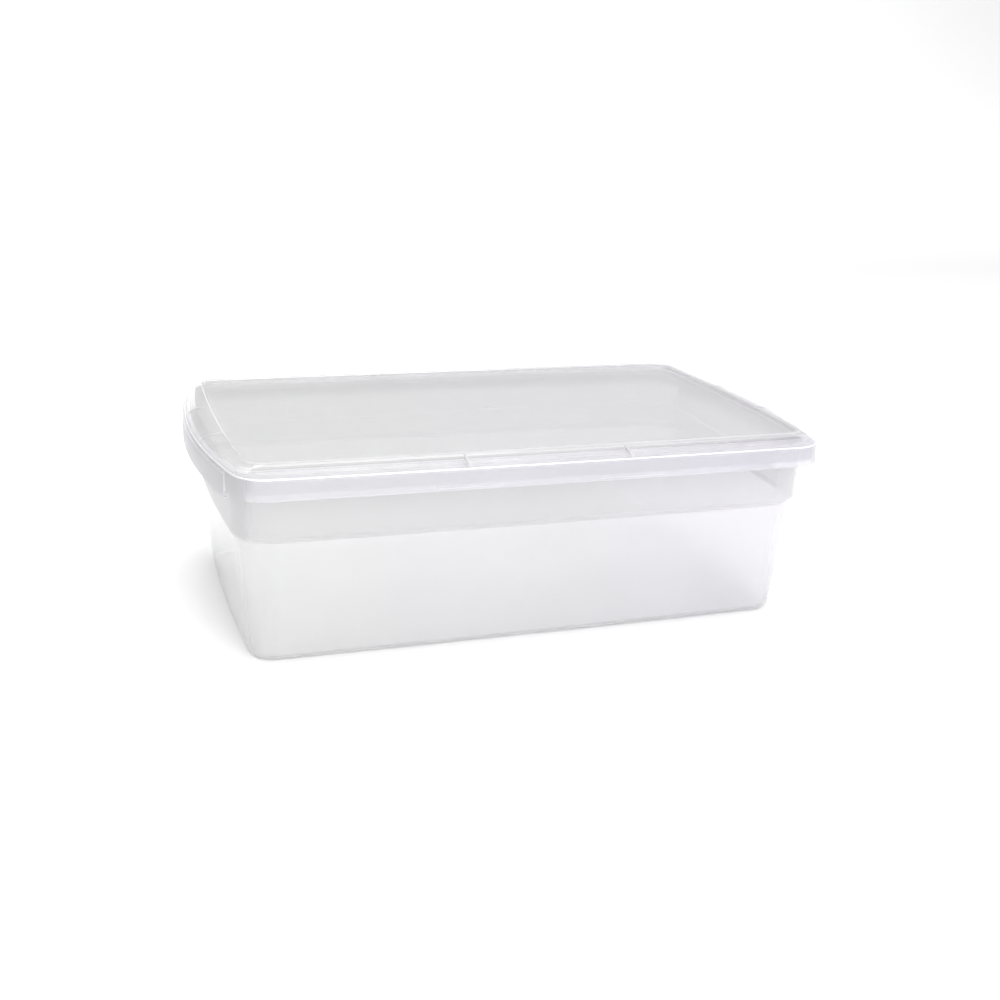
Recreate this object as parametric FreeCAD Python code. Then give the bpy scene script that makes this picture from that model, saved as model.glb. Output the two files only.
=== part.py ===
import FreeCAD, Part
import math
import os

# Clear shoe box in two mouldings: an open tub and a push-on lid.
# Frame: origin on the floor under the middle of the box, X along the length, Y across, Z up. Millimetres.

# Size of the closed box
box_length = 349.0
box_width = 210.0
box_height = 111.0

# Mouldings and the play between them
wall = 1.4
seat_gap = 0.3
rim_play = 0.8
smallest_radius = 0.5
snap_clearance = 0.3

# Lid skirt
skirt_height = 11.4
skirt_draft = 0.4
skirt_corner = 18.0
skirt_end_bow = 14.0
skirt_side_bow = 1.2
skirt_edge_radius = 1.5
skirt_land = 0.4

# Raised rail round the panel of the lid
rail_rise = 4.7
rail_width = 2.6
rail_corner = 10.5
rail_lean = 1.0
rail_bead_height = 0.9
rail_chamfer = 0.5
rail_side_inset = 12.9
rail_end_inset = 14.6
rail_end_bow = 3.0
rail_side_bow = 0.9
panel_recess = 1.5

# Shoulder between the skirt and the rail
shoulder_rise = 0.9
shoulder_end_step = 3.6
shoulder_corner = 7.0
knee_run_share = 0.35
knee_rise_share = 0.6
roof_run_share = 0.6

# Small features of the lid
gate_diameter = 6.0
gate_depth = 0.4
gate_nub_diameter = 2.0
cross_rib_width = 1.2
cross_rib_height = 0.7
cross_rib_margin = 1.7
side_rib_spacing = 90.0
end_rib_spacing = 56.0
pull_lip_drop = 3.2
pull_lip_proud = 0.6
pull_lip_span = 164.0
pull_lip_height = 12.4
side_bead_length = 36.0
end_bead_length = 60.0
bead_height = 1.6
bead_flank_share = 0.3
bead_root = 0.2

# Tub
ledge_height = 67.6
ledge_step = 1.9
ledge_edge_radius = 1.9
ledge_slope_rise = 2.9
upper_draft = 0.9
lower_draft = 7.0
tub_end_margin = 8.5
tub_side_margin = 11.6
tub_end_bow = 3.0
tub_side_bow = 1.2
foot_corner = 13.0
foot_edge_radius = 5.0
flange_chamfer = 0.8
lip_gap = 2.4

# How far cutting bodies reach past what they cut
overlap = 1.0

# Heights that follow from the sizes above
skirt_top = box_height - rail_rise
skirt_bottom = skirt_top - skirt_height
shoulder_foot = skirt_top + shoulder_rise
rail_foot = box_height - rail_bead_height
panel_top = box_height - panel_recess
panel_under = panel_top - wall
rim_top = skirt_top - wall - seat_gap
lip_bottom = skirt_bottom + lip_gap

# Plan sizes that follow from the sizes above: half outlines, and the depth that takes in a bowed end
skirt_half_x = box_length / 2 - pull_lip_proud
skirt_half_y = box_width / 2
trim_depth = 2 * (skirt_end_bow + skirt_corner)
foot_half_x = skirt_half_x - tub_end_margin - lower_draft - ledge_step - upper_draft
foot_half_y = skirt_half_y - tub_side_margin - lower_draft - ledge_step - upper_draft


def bow_radius(half_chord, bow):
    """Radius of the arc that rises by bow over a half chord."""
    return (half_chord ** 2 + bow ** 2) / (2 * bow)


def bowed_plan(half_x, half_y, end_bow, side_bow, corner):
    """Plan outline as (half x, half y, end radius, side radius, corner radius)."""
    return (half_x, half_y, bow_radius(half_y, end_bow), bow_radius(half_x, side_bow), corner)


def quarter_arcs(half_x, half_y, end_radius, side_radius, corner):
    """End, corner and side arcs of the first quadrant, as (centre x, centre y, radius, from angle, to angle)."""
    end_x = half_x - end_radius
    side_y = half_y - side_radius
    reach_end = end_radius - corner
    reach_side = side_radius - corner
    span = math.hypot(end_x, side_y)
    along = (reach_end ** 2 - reach_side ** 2 + span ** 2) / (2 * span)
    off = math.sqrt(reach_end ** 2 - along ** 2)
    ux = -end_x / span
    uy = side_y / span
    corner_x = end_x + along * ux - off * uy
    corner_y = along * uy + off * ux
    end_angle = math.atan2(corner_y, corner_x - end_x)
    side_angle = math.atan2(corner_y - side_y, corner_x)
    return [
        (end_x, 0.0, end_radius, 0.0, end_angle),
        (corner_x, corner_y, corner, end_angle, side_angle),
        (0.0, side_y, side_radius, side_angle, math.pi / 2),
    ]


def plan_arcs(plan):
    """The eight tangent arcs of a bowed, round-cornered rectangle, anticlockwise from the right end."""
    end, turn, side = quarter_arcs(*plan)
    arcs = []
    arcs.append((end[0], 0.0, end[2], -end[4], end[4]))
    arcs.append((turn[0], turn[1], turn[2], turn[3], turn[4]))
    arcs.append((0.0, side[1], side[2], side[3], math.pi - side[3]))
    arcs.append((-turn[0], turn[1], turn[2], math.pi - turn[4], math.pi - turn[3]))
    arcs.append((-end[0], 0.0, end[2], math.pi - end[4], math.pi + end[4]))
    arcs.append((-turn[0], -turn[1], turn[2], math.pi + turn[3], math.pi + turn[4]))
    arcs.append((0.0, -side[1], side[2], math.pi + side[3], 2 * math.pi - side[3]))
    arcs.append((turn[0], -turn[1], turn[2], -turn[4], -turn[3]))
    return arcs


def plan_wire(plan, z):
    """Closed wire of a plan outline at one height."""
    edges = []
    for centre_x, centre_y, radius, start, stop in plan_arcs(plan):
        points = []
        for angle in (start, (start + stop) / 2, stop):
            x = centre_x + radius * math.cos(angle)
            y = centre_y + radius * math.sin(angle)
            points.append(FreeCAD.Vector(x, y, z))
        edges.append(Part.Arc(*points).toShape())
    return Part.Wire(edges)


def loft(sections):
    """Solid through plan outlines stacked as (plan, z)."""
    return Part.makeLoft([plan_wire(plan, z) for plan, z in sections], True, True)


def plate(plan, z, thickness):
    """Flat plate with a plan outline."""
    return Part.Face(plan_wire(plan, z)).extrude(FreeCAD.Vector(0, 0, thickness))


def parallel(path, thickness):
    """Path of (offset, z, radius) shifted to its left by a thickness, with matching corner radii."""
    shifted = []
    last = len(path) - 1
    for i, (x, z, radius) in enumerate(path):
        before = path[max(i - 1, 0)]
        after = path[min(i + 1, last)]
        angle_in = math.atan2(z - before[1], x - before[0]) if i > 0 else None
        angle_out = math.atan2(after[1] - z, after[0] - x) if i < last else angle_in
        if angle_in is None:
            angle_in = angle_out
        turn = angle_out - angle_in
        middle = (angle_in + angle_out) / 2 + math.pi / 2
        reach = thickness / math.cos(turn / 2)
        new_radius = radius - thickness * math.copysign(1.0, turn) if radius else 0.0
        if new_radius < smallest_radius:
            new_radius = 0.0
        shifted.append((x + reach * math.cos(middle), z + reach * math.sin(middle), new_radius))
    return shifted


def rounded_loop(points):
    """Closed wire in the XZ plane through (x, z, radius) corners."""
    edges = []
    joints = []
    count = len(points)
    for i, (x, z, radius) in enumerate(points):
        here = FreeCAD.Vector(x, 0, z)
        if radius == 0.0:
            joints.append((here, here))
            continue
        before = FreeCAD.Vector(points[i - 1][0], 0, points[i - 1][1]) - here
        after = FreeCAD.Vector(points[(i + 1) % count][0], 0, points[(i + 1) % count][1]) - here
        before.normalize()
        after.normalize()
        half = before.getAngle(after) / 2
        run = radius / math.tan(half)
        start = here + before * run
        stop = here + after * run
        bisector = before + after
        bisector.normalize()
        middle = here + bisector * (radius / math.sin(half) - radius)
        edges.append(Part.Arc(start, middle, stop).toShape())
        joints.append((start, stop))
    for i in range(count):
        start = joints[i][1]
        stop = joints[(i + 1) % count][0]
        edges.append(Part.makeLine(start, stop))
    return Part.Wire(Part.__sortEdges__(edges))


def swept_ring(plan, loop):
    """Solid ring: a section loop of (offset, z, radius) carried round a plan outline."""
    segments = []
    for centre_x, centre_y, radius, start, stop in plan_arcs(plan):
        section = rounded_loop([(radius + offset, z, bend) for offset, z, bend in loop])
        face = Part.Face(section)
        face.rotate(FreeCAD.Vector(0, 0, 0), FreeCAD.Vector(0, 0, 1), math.degrees(start))
        segment = face.revolve(FreeCAD.Vector(0, 0, 0), FreeCAD.Vector(0, 0, 1), math.degrees(stop - start))
        segment.translate(FreeCAD.Vector(centre_x, centre_y, 0))
        segments.append(segment)
    return segments


def inset(plan, end, side, corner):
    """A plan outline drawn in by different amounts at the ends and the sides, with its own corner radius."""
    return (plan[0] - end, plan[1] - side, plan[2] - end, plan[3] - side, corner)


def even_inset(plan, amount):
    """A plan outline drawn in evenly, which keeps it parallel."""
    return inset(plan, amount, amount, plan[4] - amount)


def between(outer, inner, share):
    """A plan outline part of the way from one outline to another."""
    blended = []
    for i, (start, stop) in enumerate(zip(outer, inner)):
        if i in (2, 3):
            blended.append(1 / (1 / start + (1 / stop - 1 / start) * share))
        else:
            blended.append(start + (stop - start) * share)
    return tuple(blended)


def fused(shapes):
    """One solid from touching solids, without seams."""
    return shapes[0].fuse(shapes[1:]).removeSplitter()


def edges_at(shape, z):
    """Edges of a shape that lie wholly at one height."""
    found = []
    for edge in shape.Edges:
        box = edge.BoundBox
        if abs(box.ZMin - z) < 0.01 and abs(box.ZMax - z) < 0.01:
            found.append(edge)
    return found


def box_at(size_x, size_y, x, y):
    """Box as tall as the whole part, centred on x and y."""
    return Part.makeBox(size_x, size_y, box_height, FreeCAD.Vector(x - size_x / 2, y - size_y / 2, 0))


# Plan outlines
foot_plan = bowed_plan(foot_half_x, foot_half_y, tub_end_bow, tub_side_bow, foot_corner)
skirt_plan = bowed_plan(skirt_half_x, skirt_half_y, skirt_end_bow, skirt_side_bow, skirt_corner)
rail_half_x = skirt_half_x - rail_end_inset
rail_half_y = skirt_half_y - rail_side_inset
rail_plan = bowed_plan(rail_half_x, rail_half_y, rail_end_bow, rail_side_bow, rail_corner)
shoulder_plan = inset(skirt_plan, shoulder_end_step, rail_side_inset - rail_lean, shoulder_corner)


def make_tub_walls():
    """Drafted lower wall, rounded ledge and upper band, carried round the foot."""
    floor_reach = foot_edge_radius + wall
    mouth = lower_draft + ledge_step + upper_draft
    outer = [
        (-floor_reach, 0.0, 0.0),
        (0.0, 0.0, foot_edge_radius),
        (lower_draft, ledge_height, 0.0),
        (lower_draft + ledge_step, ledge_height + ledge_slope_rise, ledge_edge_radius),
        (mouth, rim_top, 0.0),
    ]
    inner = parallel(outer, wall)
    inner[0] = (-floor_reach, wall, 0.0)
    inner[-1] = (mouth - wall, rim_top, 0.0)
    return swept_ring(foot_plan, outer + inner[::-1])


def make_rim():
    """Flange round the mouth of the tub with its down-turned lip."""
    mouth = lower_draft + ledge_step + upper_draft
    mouth_plan = even_inset(foot_plan, -mouth + wall)
    rim_plan = even_inset(skirt_plan, wall + rim_play)
    rim = plate(rim_plan, lip_bottom, rim_top - lip_bottom)
    rim = rim.makeChamfer(flange_chamfer, edges_at(rim, rim_top))
    below_flange = rim_top - wall - lip_bottom
    rim = rim.cut(plate(even_inset(rim_plan, wall), lip_bottom - overlap, below_flange + overlap))
    return rim.cut(plate(mouth_plan, lip_bottom - overlap, rim_top - lip_bottom + 2 * overlap))


def make_tub():
    """Open tub: floor, walls, flange and lip."""
    floor = plate(even_inset(foot_plan, foot_edge_radius + wall), 0.0, wall)
    return fused(make_tub_walls() + [floor, make_rim()])


def make_skirt():
    """Skirt of the lid and its rounded top edge."""
    reach = skirt_draft + skirt_edge_radius + skirt_land
    outer = [
        (-reach, skirt_top, 0.0),
        (-skirt_draft, skirt_top, skirt_edge_radius),
        (0.0, skirt_bottom, 0.0),
    ]
    inner = parallel(outer, -wall)
    inner[-1] = (-wall, skirt_bottom, 0.0)
    return swept_ring(skirt_plan, outer + inner[::-1])


def make_rail():
    """Bead with chamfered edges along the top of the raised rail."""
    return swept_ring(rail_plan, [
        (0.0, rail_foot, 0.0),
        (0.0, box_height - rail_chamfer, 0.0),
        (-rail_chamfer, box_height, 0.0),
        (rail_chamfer - rail_width, box_height, 0.0),
        (-rail_width, box_height - rail_chamfer, 0.0),
        (-rail_width, rail_foot, 0.0),
    ])


def make_crown():
    """Shoulder and panel: a level shoulder and a steep rail wall on the sides, one convex slope on the ends."""
    crown_plan = even_inset(skirt_plan, skirt_draft + skirt_edge_radius + skirt_land)
    knee_plan = between(shoulder_plan, rail_plan, knee_run_share)
    crown = loft([
        (crown_plan, skirt_top - wall),
        (crown_plan, skirt_top),
        (shoulder_plan, shoulder_foot),
        (knee_plan, knee_height()),
        (rail_plan, rail_foot),
    ])
    roof_plan = between(shoulder_plan, rail_plan, roof_run_share)
    hollow = loft([
        (crown_plan, skirt_top - wall),
        (inset(shoulder_plan, wall / 2, wall, shoulder_corner), shoulder_foot - wall),
        (inset(roof_plan, wall / 2, wall, shoulder_corner), panel_under),
    ])
    pocket = plate(even_inset(rail_plan, rail_width), panel_top, rail_rise)
    return crown.fuse(make_cross_ribs()).cut(hollow).cut(pocket)


def knee_height():
    """Height of the knee in the slope at the ends of the lid."""
    return shoulder_foot + (rail_foot - shoulder_foot) * knee_rise_share


def arc_drop(radius, along):
    """How far an arc has fallen back at a distance along its chord."""
    return radius - math.sqrt(radius ** 2 - along ** 2)


def cross_rib(points, at_end, side, along):
    """Thin rib across the shoulder, from (inset, z) points, on one end or one long side."""
    corners = []
    for depth, z in points:
        if at_end:
            x = skirt_half_x - arc_drop(skirt_plan[2], along) - depth
            corners.append(FreeCAD.Vector(side * x, along - cross_rib_width / 2, z))
        else:
            y = skirt_half_y - arc_drop(skirt_plan[3], along) - depth
            corners.append(FreeCAD.Vector(along - cross_rib_width / 2, side * y, z))
    face = Part.Face(Part.makePolygon(corners + corners[:1]))
    step = FreeCAD.Vector(0, cross_rib_width, 0) if at_end else FreeCAD.Vector(cross_rib_width, 0, 0)
    return face.extrude(step)


def make_cross_ribs():
    """Two ribs across each side of the shoulder."""
    start = skirt_draft + cross_rib_margin
    side_stop = rail_side_inset + rail_width / 2
    side_points = [
        (start, skirt_top - wall / 2),
        (start, skirt_top + cross_rib_height),
        (rail_side_inset - rail_lean, rail_foot),
        (side_stop, rail_foot),
        (side_stop, shoulder_foot),
    ]
    end_stop = rail_end_inset + rail_width / 2
    knee = shoulder_end_step + (rail_end_inset - shoulder_end_step) * knee_run_share
    end_points = [
        (start, skirt_top - wall / 2),
        (start, skirt_top + cross_rib_height / 2),
        (shoulder_end_step, shoulder_foot + cross_rib_height),
        (knee, knee_height() + cross_rib_height),
        (rail_end_inset, rail_foot),
        (end_stop, rail_foot),
        (end_stop, panel_top - wall / 2),
        (shoulder_end_step, shoulder_foot - wall / 2),
    ]
    ribs = []
    for side in (-1, 1):
        for way in (-1, 1):
            ribs.append(cross_rib(side_points, False, side, way * side_rib_spacing / 2))
            ribs.append(cross_rib(end_points, True, side, way * end_rib_spacing / 2))
    return ribs


def make_pull_lips():
    """Slightly proud band at each end that reaches below the skirt, for the fingers."""
    bottom = skirt_bottom - pull_lip_drop
    band = plate(even_inset(skirt_plan, -pull_lip_proud), bottom, pull_lip_height)
    band = band.cut(plate(even_inset(skirt_plan, wall), bottom - overlap, pull_lip_height + 2 * overlap))
    return [band.common(box_at(trim_depth, pull_lip_span, side * skirt_half_x, 0.0)) for side in (-1, 1)]


def make_snap_beads():
    """Short beads inside the skirt, just under the lip of the tub: two on each side and one on each end."""
    top = lip_bottom - snap_clearance
    reach = wall + rim_play - snap_clearance
    ring = swept_ring(skirt_plan, [
        (bead_root - wall, top, 0.0),
        (-reach, top - bead_height * bead_flank_share, 0.0),
        (-reach, top - bead_height * (1 - bead_flank_share), 0.0),
        (bead_root - wall, top - bead_height, 0.0),
    ])
    windows = []
    for side in (-1, 1):
        windows.append(box_at(trim_depth, end_bead_length, side * skirt_half_x, 0.0))
        for way in (-1, 1):
            windows.append(box_at(side_bead_length, trim_depth, way * side_rib_spacing / 2, side * skirt_half_y))
    beads = []
    for window in windows:
        for segment in ring:
            beads.extend(segment.common(window).Solids)
    return beads


def make_lid():
    """Push-on lid: skirt, crown with its rail and ribs, pull lips, snap beads and the gate mark."""
    gate_floor = FreeCAD.Vector(0, 0, panel_top - gate_depth)
    dimple = Part.makeCylinder(gate_diameter / 2, gate_depth, gate_floor)
    nub_base = gate_floor - FreeCAD.Vector(0, 0, gate_depth / 4)
    nub = Part.makeCone(gate_nub_diameter / 2, gate_nub_diameter / 3, gate_depth, nub_base)
    crown = make_crown().cut(dimple)
    return fused(make_skirt() + make_rail() + [crown, nub] + make_pull_lips() + make_snap_beads())


os.makedirs("parts", exist_ok=True)
make_tub().exportStep("parts/base_tub.step")
make_lid().exportStep("parts/lid.step")
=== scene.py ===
import math

import bpy
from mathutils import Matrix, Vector

# A clear plastic shoe box with its lid on, standing on a pale studio floor. Lengths are in metres.

# Camera: azimuth and elevation of the view, its roll, its distance and the point it looks at
VIEW_AZIMUTH = math.radians(-19.75)
VIEW_ELEVATION = math.radians(18.13)
VIEW_ROLL = math.radians(2.36)
VIEW_DISTANCE = 0.7934
VIEW_TARGET = Vector((0.00827, 0.0, 0.0517))
LENS_MM = 47.52
SENSOR_MM = 36.0
CLIP_START = 0.05

# Light has to pass many thin clear walls
LIGHT_BOUNCES = 32

# Heights of the ledge round the tub, where its upper band starts, and of the top of the lid's
# skirt, and how far below and above them the tint changes over
LEDGE_HEIGHT = 0.0676
SKIRT_TOP = 0.1063
CHANGE_BELOW = 0.0005
CHANGE_ABOVE = 0.0015

# Polypropylene and its polished surface
PLASTIC_IOR = 1.49
COAT_ROUGHNESS = 0.03
COAT_WEIGHT = 0.6

# Bump layers: scale per metre, stretch, strength and height
EVEN = (1.0, 1.0, 1.0)
PLASTIC_RIPPLE = (
    (9.0, (1.0, 1.6, 1.0), 0.15, 0.002),
    (60.0, EVEN, 0.04, 0.0006),
)
PAPER_TOOTH = (
    (30.0, EVEN, 0.05, 0.0005),
)
BUMP_DETAIL = 2.0

# Clouding of the plastic: scale per metre, detail, the part of the noise that it uses, how much
# darker the clouded patches are, and how the roughness goes from clear to clouded
CLOUD_SCALE = 11.0
CLOUD_DETAIL = 3.0
CLOUD_START, CLOUD_FULL = 0.2, 0.8
MILKY_PATCH = 0.95
BLUR_CLEAR, BLUR_CLOUDED = 0.6, 1.4

# Painted highlight on the sharp edges, whitening the colour where light would gather: tint, radius
# that is looked over, samples, the cosine of the turn of the surface where it starts and where it
# is full, its strength then, and how clear the highlighted edges stay
EDGE_HIGHLIGHT_TINT = (0.96, 0.96, 0.96)
EDGE_RADIUS = 0.0006
EDGE_SAMPLES = 6
EDGE_START, EDGE_FULL = 0.993, 0.93
EDGE_STRENGTH = 0.45
EDGE_CLEARNESS = 0.1

# Painted highlight on rounded edges that face up and out, where light from above would catch: how
# far up the surface faces where it starts and is full, and where it is so level that it ends and
# fades; and its strength below and above the change
CREST_START, CREST_FULL = 0.4, 0.55
CREST_END, CREST_FADE = 0.88, 0.78
CREST_BELOW, CREST_ABOVE = 1.0, 0.3

# Painted shade on the outsides of the two ends, which are also made rough: tint, the outward
# distance from the middle where the shade starts and is full, its roughness, and the shade strength
# at which the polish has gone
END_SHADE_TINT = (0.48, 0.48, 0.5)
END_START, END_FULL = 0.07, 0.13
END_ROUGHNESS = 0.6
END_DULL = 0.5

# Opacity where the painted highlights and the painted end shade are full
SOLID_ALPHA = 0.9

# Faint violet tinge of the plastic, and where along the length it starts and is full
TINGE = (0.975, 0.965, 1.0)
TINGE_START, TINGE_FULL = -0.1, 0.17

# Paper of the studio floor
PAPER = (0.93, 0.93, 0.93)
PAPER_ROUGHNESS = 0.9
PAPER_SPECULAR = 0.1

# Dome of light: its colour low down and high up, the height where it is palest, and its strength
# from the left to the right
DOME_LOW = (0.46, 0.46, 0.47)
DOME_HIGH = (1.0, 1.0, 1.0)
DOME_PALEST = 0.75
DOME_LEFT, DOME_RIGHT = 0.6, 1.36

# Softboxes: name, place, the point that they face, width and height, and watts
SOFTBOXES = (
    ("box_overhead", (0.0, 0.0, 1.5), (0.0, 0.0, 0.0), (1.1, 0.8), 10.5),
    ("box_front", (-0.2, -1.35, 1.35), (0.0, 0.0, 0.05), (1.7, 1.1), 17.0),
    ("box_backdrop", (0.0, 2.6, 2.4), (0.0, 6.0, 0.4), (4.0, 1.0), 130.0),
)

# Sockets of a Mix node that works on colours
MIX_MASK, MIX_FIRST, MIX_SECOND, MIX_RESULT = 0, 6, 7, 2

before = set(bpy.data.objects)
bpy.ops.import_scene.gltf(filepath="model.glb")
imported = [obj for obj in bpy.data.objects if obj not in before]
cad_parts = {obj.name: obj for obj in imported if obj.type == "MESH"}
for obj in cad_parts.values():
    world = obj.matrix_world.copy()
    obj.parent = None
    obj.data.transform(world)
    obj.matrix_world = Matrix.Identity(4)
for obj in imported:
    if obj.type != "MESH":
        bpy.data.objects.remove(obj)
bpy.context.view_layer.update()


def new_material(name):
    """A node material, its node tree and its Principled shader."""
    material = bpy.data.materials.new(name)
    material.use_nodes = True
    tree = material.node_tree
    return material, tree, tree.nodes["Principled BSDF"]


def noise_bump(tree, shader, layers):
    """Chained bump from noise layers of (scale per metre, stretch, strength, height)."""
    coordinates = tree.nodes.new("ShaderNodeTexCoord")
    normal = None
    for scale, stretch, strength, height in layers:
        mapping = tree.nodes.new("ShaderNodeMapping")
        mapping.inputs["Scale"].default_value = stretch
        tree.links.new(coordinates.outputs["Object"], mapping.inputs["Vector"])
        noise = noise_value(tree, mapping.outputs["Vector"], scale, BUMP_DETAIL)
        bump = tree.nodes.new("ShaderNodeBump")
        bump.inputs["Strength"].default_value = strength
        bump.inputs["Distance"].default_value = height
        tree.links.new(noise, bump.inputs["Height"])
        if normal is not None:
            tree.links.new(normal, bump.inputs["Normal"])
        normal = bump.outputs["Normal"]
    tree.links.new(normal, shader.inputs["Normal"])
    return coordinates


def noise_value(tree, place, scale, detail):
    """Value of a noise texture at a place."""
    noise = tree.nodes.new("ShaderNodeTexNoise")
    noise.inputs["Scale"].default_value = scale
    noise.inputs["Detail"].default_value = detail
    tree.links.new(place, noise.inputs["Vector"])
    return noise.outputs["Fac"]


def axes(tree, vector):
    """The X, Y and Z outputs of a vector."""
    split = tree.nodes.new("ShaderNodeSeparateXYZ")
    tree.links.new(vector, split.inputs["Vector"])
    return split.outputs


def map_range(tree, value, start, stop, low=0.0, high=1.0):
    """A value carried from one range to another."""
    node = tree.nodes.new("ShaderNodeMapRange")
    node.inputs["From Min"].default_value = start
    node.inputs["From Max"].default_value = stop
    node.inputs["To Min"].default_value = low
    node.inputs["To Max"].default_value = high
    tree.links.new(value, node.inputs["Value"])
    return node.outputs["Result"]


def mix_colours(tree, mask, first, second, blend_type="MIX"):
    """The first colour, with the second over it as far as a mask goes. Each may be an output."""
    node = tree.nodes.new("ShaderNodeMix")
    node.data_type = "RGBA"
    node.blend_type = blend_type
    tree.links.new(mask, node.inputs[MIX_MASK])
    for socket, colour in ((node.inputs[MIX_FIRST], first), (node.inputs[MIX_SECOND], second)):
        if isinstance(colour, tuple):
            socket.default_value = (*colour, 1.0)
        else:
            tree.links.new(colour, socket)
    return node.outputs[MIX_RESULT]


def combine(tree, operation, first, second):
    """Sum, product or larger of two values."""
    node = tree.nodes.new("ShaderNodeMath")
    node.operation = operation
    tree.links.new(first, node.inputs[0])
    tree.links.new(second, node.inputs[1])
    return node.outputs["Value"]


def edge_highlight_mask(tree):
    """The strength of the painted highlight on the sharp edges of the moulding, and zero away from
    them.
    """
    bevel = tree.nodes.new("ShaderNodeBevel")
    bevel.samples = EDGE_SAMPLES
    bevel.inputs["Radius"].default_value = EDGE_RADIUS
    geometry = tree.nodes.new("ShaderNodeNewGeometry")
    turn = tree.nodes.new("ShaderNodeVectorMath")
    turn.operation = "DOT_PRODUCT"
    tree.links.new(bevel.outputs["Normal"], turn.inputs[0])
    tree.links.new(geometry.outputs["Normal"], turn.inputs[1])
    return map_range(tree, turn.outputs["Value"], EDGE_START, EDGE_FULL, 0.0, EDGE_STRENGTH)


def crest_highlight_mask(tree, strength):
    """The strength of the painted highlight on rounded edges that face up and out, and zero on
    level and upright walls.
    """
    geometry = tree.nodes.new("ShaderNodeNewGeometry")
    facing = axes(tree, geometry.outputs["Normal"])
    tilted = map_range(tree, facing["Z"], CREST_START, CREST_FULL)
    not_level = map_range(tree, facing["Z"], CREST_END, CREST_FADE)
    return combine(tree, "MULTIPLY", combine(tree, "MULTIPLY", tilted, not_level), strength)


def end_shade_mask(tree, position, strength):
    """The strength of the painted shade on the outsides of the two ends, and zero elsewhere."""
    geometry = tree.nodes.new("ShaderNodeNewGeometry")
    facing = axes(tree, geometry.outputs["Normal"])
    outward = combine(tree, "MULTIPLY", facing["X"], position)
    return combine(tree, "MULTIPLY", map_range(tree, outward, END_START, END_FULL), strength)


def clear_plastic(
    name, change_height, tint_below, tint_above, end_shade, clearness, see_through, blur
):
    """Clear polypropylene, slightly milky, with the ripple and clouding of a moulding.

    The tint, the strength of the painted highlight on the rounded edges and of the painted shade on
    the ends each have one value below the change height and one above it. Clearness is the share of
    light that passes refracted, and see_through the share that passes straight. Blur is the mean
    roughness.
    """
    material, tree, shader = new_material(name)
    shader.inputs["IOR"].default_value = PLASTIC_IOR
    shader.inputs["Coat Roughness"].default_value = COAT_ROUGHNESS
    shader.inputs["Coat IOR"].default_value = PLASTIC_IOR
    coordinates = noise_bump(tree, shader, PLASTIC_RIPPLE)
    cloud = noise_value(tree, coordinates.outputs["Object"], CLOUD_SCALE, CLOUD_DETAIL)
    place = axes(tree, coordinates.outputs["Object"])
    above = map_range(tree, place["Z"], change_height - CHANGE_BELOW, change_height + CHANGE_ABOVE)

    clouding = map_range(tree, cloud, CLOUD_START, CLOUD_FULL)
    patch_tint = tuple(channel * MILKY_PATCH for channel in tint_below)
    below = mix_colours(tree, clouding, tint_below, patch_tint)
    body = mix_colours(tree, above, below, tint_above)

    crest_highlight = crest_highlight_mask(tree, map_range(tree, above, 0.0, 1.0, CREST_BELOW, CREST_ABOVE))
    highlight = combine(tree, "MAXIMUM", edge_highlight_mask(tree), crest_highlight)
    end = end_shade_mask(tree, place["X"], map_range(tree, above, 0.0, 1.0, *end_shade))
    # Painted highlight: the colour is whitened on sharp and rounded edges, as if they caught light
    lit = mix_colours(tree, highlight, body, EDGE_HIGHLIGHT_TINT)
    # Painted shade: the colour is darkened on the outsides of the two ends
    toned = mix_colours(tree, end, lit, END_SHADE_TINT)
    tinge = map_range(tree, place["X"], TINGE_START, TINGE_FULL)
    tinged = mix_colours(tree, tinge, toned, TINGE, "MULTIPLY")
    passing = map_range(tree, highlight, 0.0, 1.0, clearness, EDGE_CLEARNESS)
    solid = combine(tree, "MAXIMUM", highlight, end)
    opacity = map_range(tree, solid, 0.0, 1.0, 1.0 - see_through, SOLID_ALPHA)
    gloss = map_range(tree, cloud, CLOUD_START, CLOUD_FULL, blur * BLUR_CLEAR, blur * BLUR_CLOUDED)
    end_rough = map_range(tree, end, 0.0, 1.0, 0.0, END_ROUGHNESS)
    roughness = combine(tree, "ADD", gloss, end_rough)
    coat = map_range(tree, end, 0.0, END_DULL, COAT_WEIGHT, 0.0)
    for socket, value in (
        ("Base Color", tinged),
        ("Transmission Weight", passing),
        ("Alpha", opacity),
        ("Roughness", roughness),
        ("Coat Weight", coat),
    ):
        tree.links.new(value, shader.inputs[socket])
    return material


def dress(node, material):
    """Gives a piece its material, and smooth shading along the normals of its CAD faces."""
    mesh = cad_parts[node].data
    mesh.materials.clear()
    mesh.materials.append(material)
    mesh.polygons.foreach_set("use_smooth", [True] * len(mesh.polygons))


def studio():
    """Pale floor that sweeps up into a low backdrop."""
    floor_front = -3.0
    floor_back = 4.0
    sweep = 2.5
    sweep_angle = 60.0
    half_width = 6.0
    steps = 12
    profile = [(floor_front, 0.0), (floor_back, 0.0)]
    for step in range(1, steps + 1):
        angle = math.radians(sweep_angle * step / steps)
        profile.append((floor_back + sweep * math.sin(angle), sweep * (1 - math.cos(angle))))
    vertices = [(side * half_width, y, z) for y, z in profile for side in (-1, 1)]
    faces = [(2 * i, 2 * i + 1, 2 * i + 3, 2 * i + 2) for i in range(len(profile) - 1)]
    mesh = bpy.data.meshes.new("studio_floor")
    mesh.from_pydata(vertices, [], faces)
    mesh.polygons.foreach_set("use_smooth", [True] * len(mesh.polygons))
    floor = bpy.data.objects.new("studio_floor", mesh)
    bpy.context.scene.collection.objects.link(floor)
    material, tree, shader = new_material("paper_sweep")
    shader.inputs["Base Color"].default_value = (*PAPER, 1.0)
    shader.inputs["Roughness"].default_value = PAPER_ROUGHNESS
    shader.inputs["Specular IOR Level"].default_value = PAPER_SPECULAR
    noise_bump(tree, shader, PAPER_TOOTH)
    mesh.materials.append(material)


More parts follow.
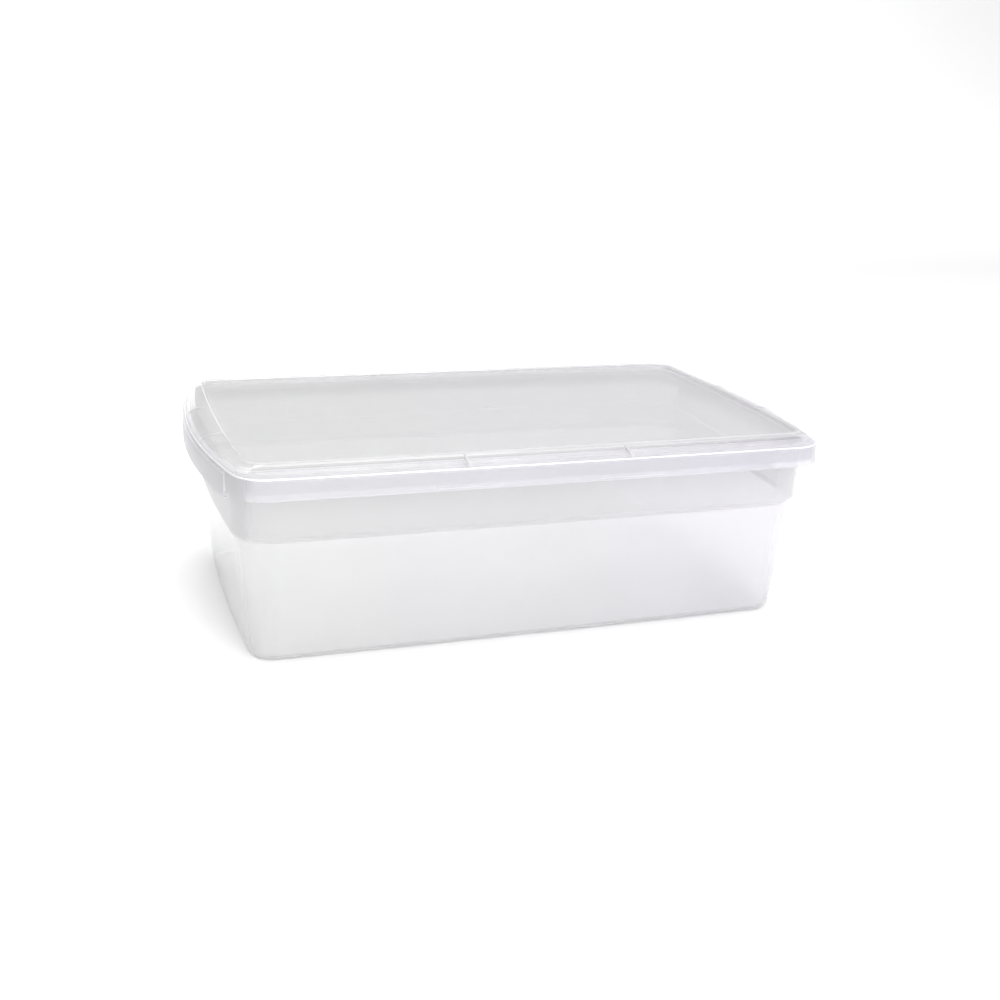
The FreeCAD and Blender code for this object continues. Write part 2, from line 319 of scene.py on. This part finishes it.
def area_light(name, place, aim, size, watts):
    """Softbox at a place, turned to a point."""
    light = bpy.data.lights.new(name, "AREA")
    light.shape = "RECTANGLE"
    light.size, light.size_y = size
    light.energy = watts
    lamp = bpy.data.objects.new(name, light)
    lamp.location = place
    lamp.rotation_euler = (Vector(aim) - Vector(place)).to_track_quat("-Z", "Y").to_euler()
    bpy.context.scene.collection.objects.link(lamp)


def lights():
    """Soft studio light: a dome, palest overhead and stronger to the right, and three softboxes."""
    world = bpy.data.worlds.new("surround")
    world.use_nodes = True
    tree = world.node_tree
    background = tree.nodes["Background"]
    coordinates = tree.nodes.new("ShaderNodeTexCoord")
    direction = axes(tree, coordinates.outputs["Generated"])
    ramp = tree.nodes.new("ShaderNodeValToRGB")
    for element, position, colour in zip(
        ramp.color_ramp.elements, (0.0, DOME_PALEST), (DOME_LOW, DOME_HIGH)
    ):
        element.position = position
        element.color = (*colour, 1.0)
    tree.links.new(direction["Z"], ramp.inputs["Fac"])
    tree.links.new(ramp.outputs["Color"], background.inputs["Color"])
    strength = map_range(tree, direction["X"], -1.0, 1.0, DOME_LEFT, DOME_RIGHT)
    tree.links.new(strength, background.inputs["Strength"])
    bpy.context.scene.world = world
    for softbox in SOFTBOXES:
        area_light(*softbox)


def camera():
    """Camera at the view's azimuth and elevation, turned by its roll."""
    back = Vector((
        math.sin(VIEW_AZIMUTH) * math.cos(VIEW_ELEVATION),
        -math.cos(VIEW_AZIMUTH) * math.cos(VIEW_ELEVATION),
        math.sin(VIEW_ELEVATION),
    ))
    data = bpy.data.cameras.new("camera")
    data.lens = LENS_MM
    data.sensor_width = SENSOR_MM
    data.clip_start = CLIP_START
    eye = bpy.data.objects.new("camera", data)
    eye.location = VIEW_TARGET + back * VIEW_DISTANCE
    eye.rotation_euler = back.to_track_quat("Z", "Y").to_matrix().to_4x4().to_euler()
    eye.rotation_euler.rotate_axis("Z", VIEW_ROLL)
    bpy.context.scene.collection.objects.link(eye)
    bpy.context.scene.camera = eye


studio()
lights()
camera()
tub_plastic = clear_plastic(
    "clear_tub",
    change_height=LEDGE_HEIGHT,
    tint_below=(0.965, 0.965, 0.97),
    tint_above=(0.765, 0.765, 0.77),
    end_shade=(0.15, 0.45),
    clearness=0.5,
    see_through=0.42,
    blur=0.09,
)
lid_plastic = clear_plastic(
    "clear_lid",
    change_height=SKIRT_TOP,
    tint_below=(0.82, 0.815, 0.85),
    tint_above=(0.69, 0.69, 0.69),
    end_shade=(0.5, 0.05),
    clearness=0.5,
    see_through=0.4,
    blur=0.09,
)
dress("base_tub", tub_plastic)
dress("lid", lid_plastic)

bpy.context.scene.view_settings.view_transform = "Standard"
cycles = bpy.context.scene.cycles
cycles.max_bounces = LIGHT_BOUNCES
cycles.transmission_bounces = LIGHT_BOUNCES
cycles.transparent_max_bounces = LIGHT_BOUNCES
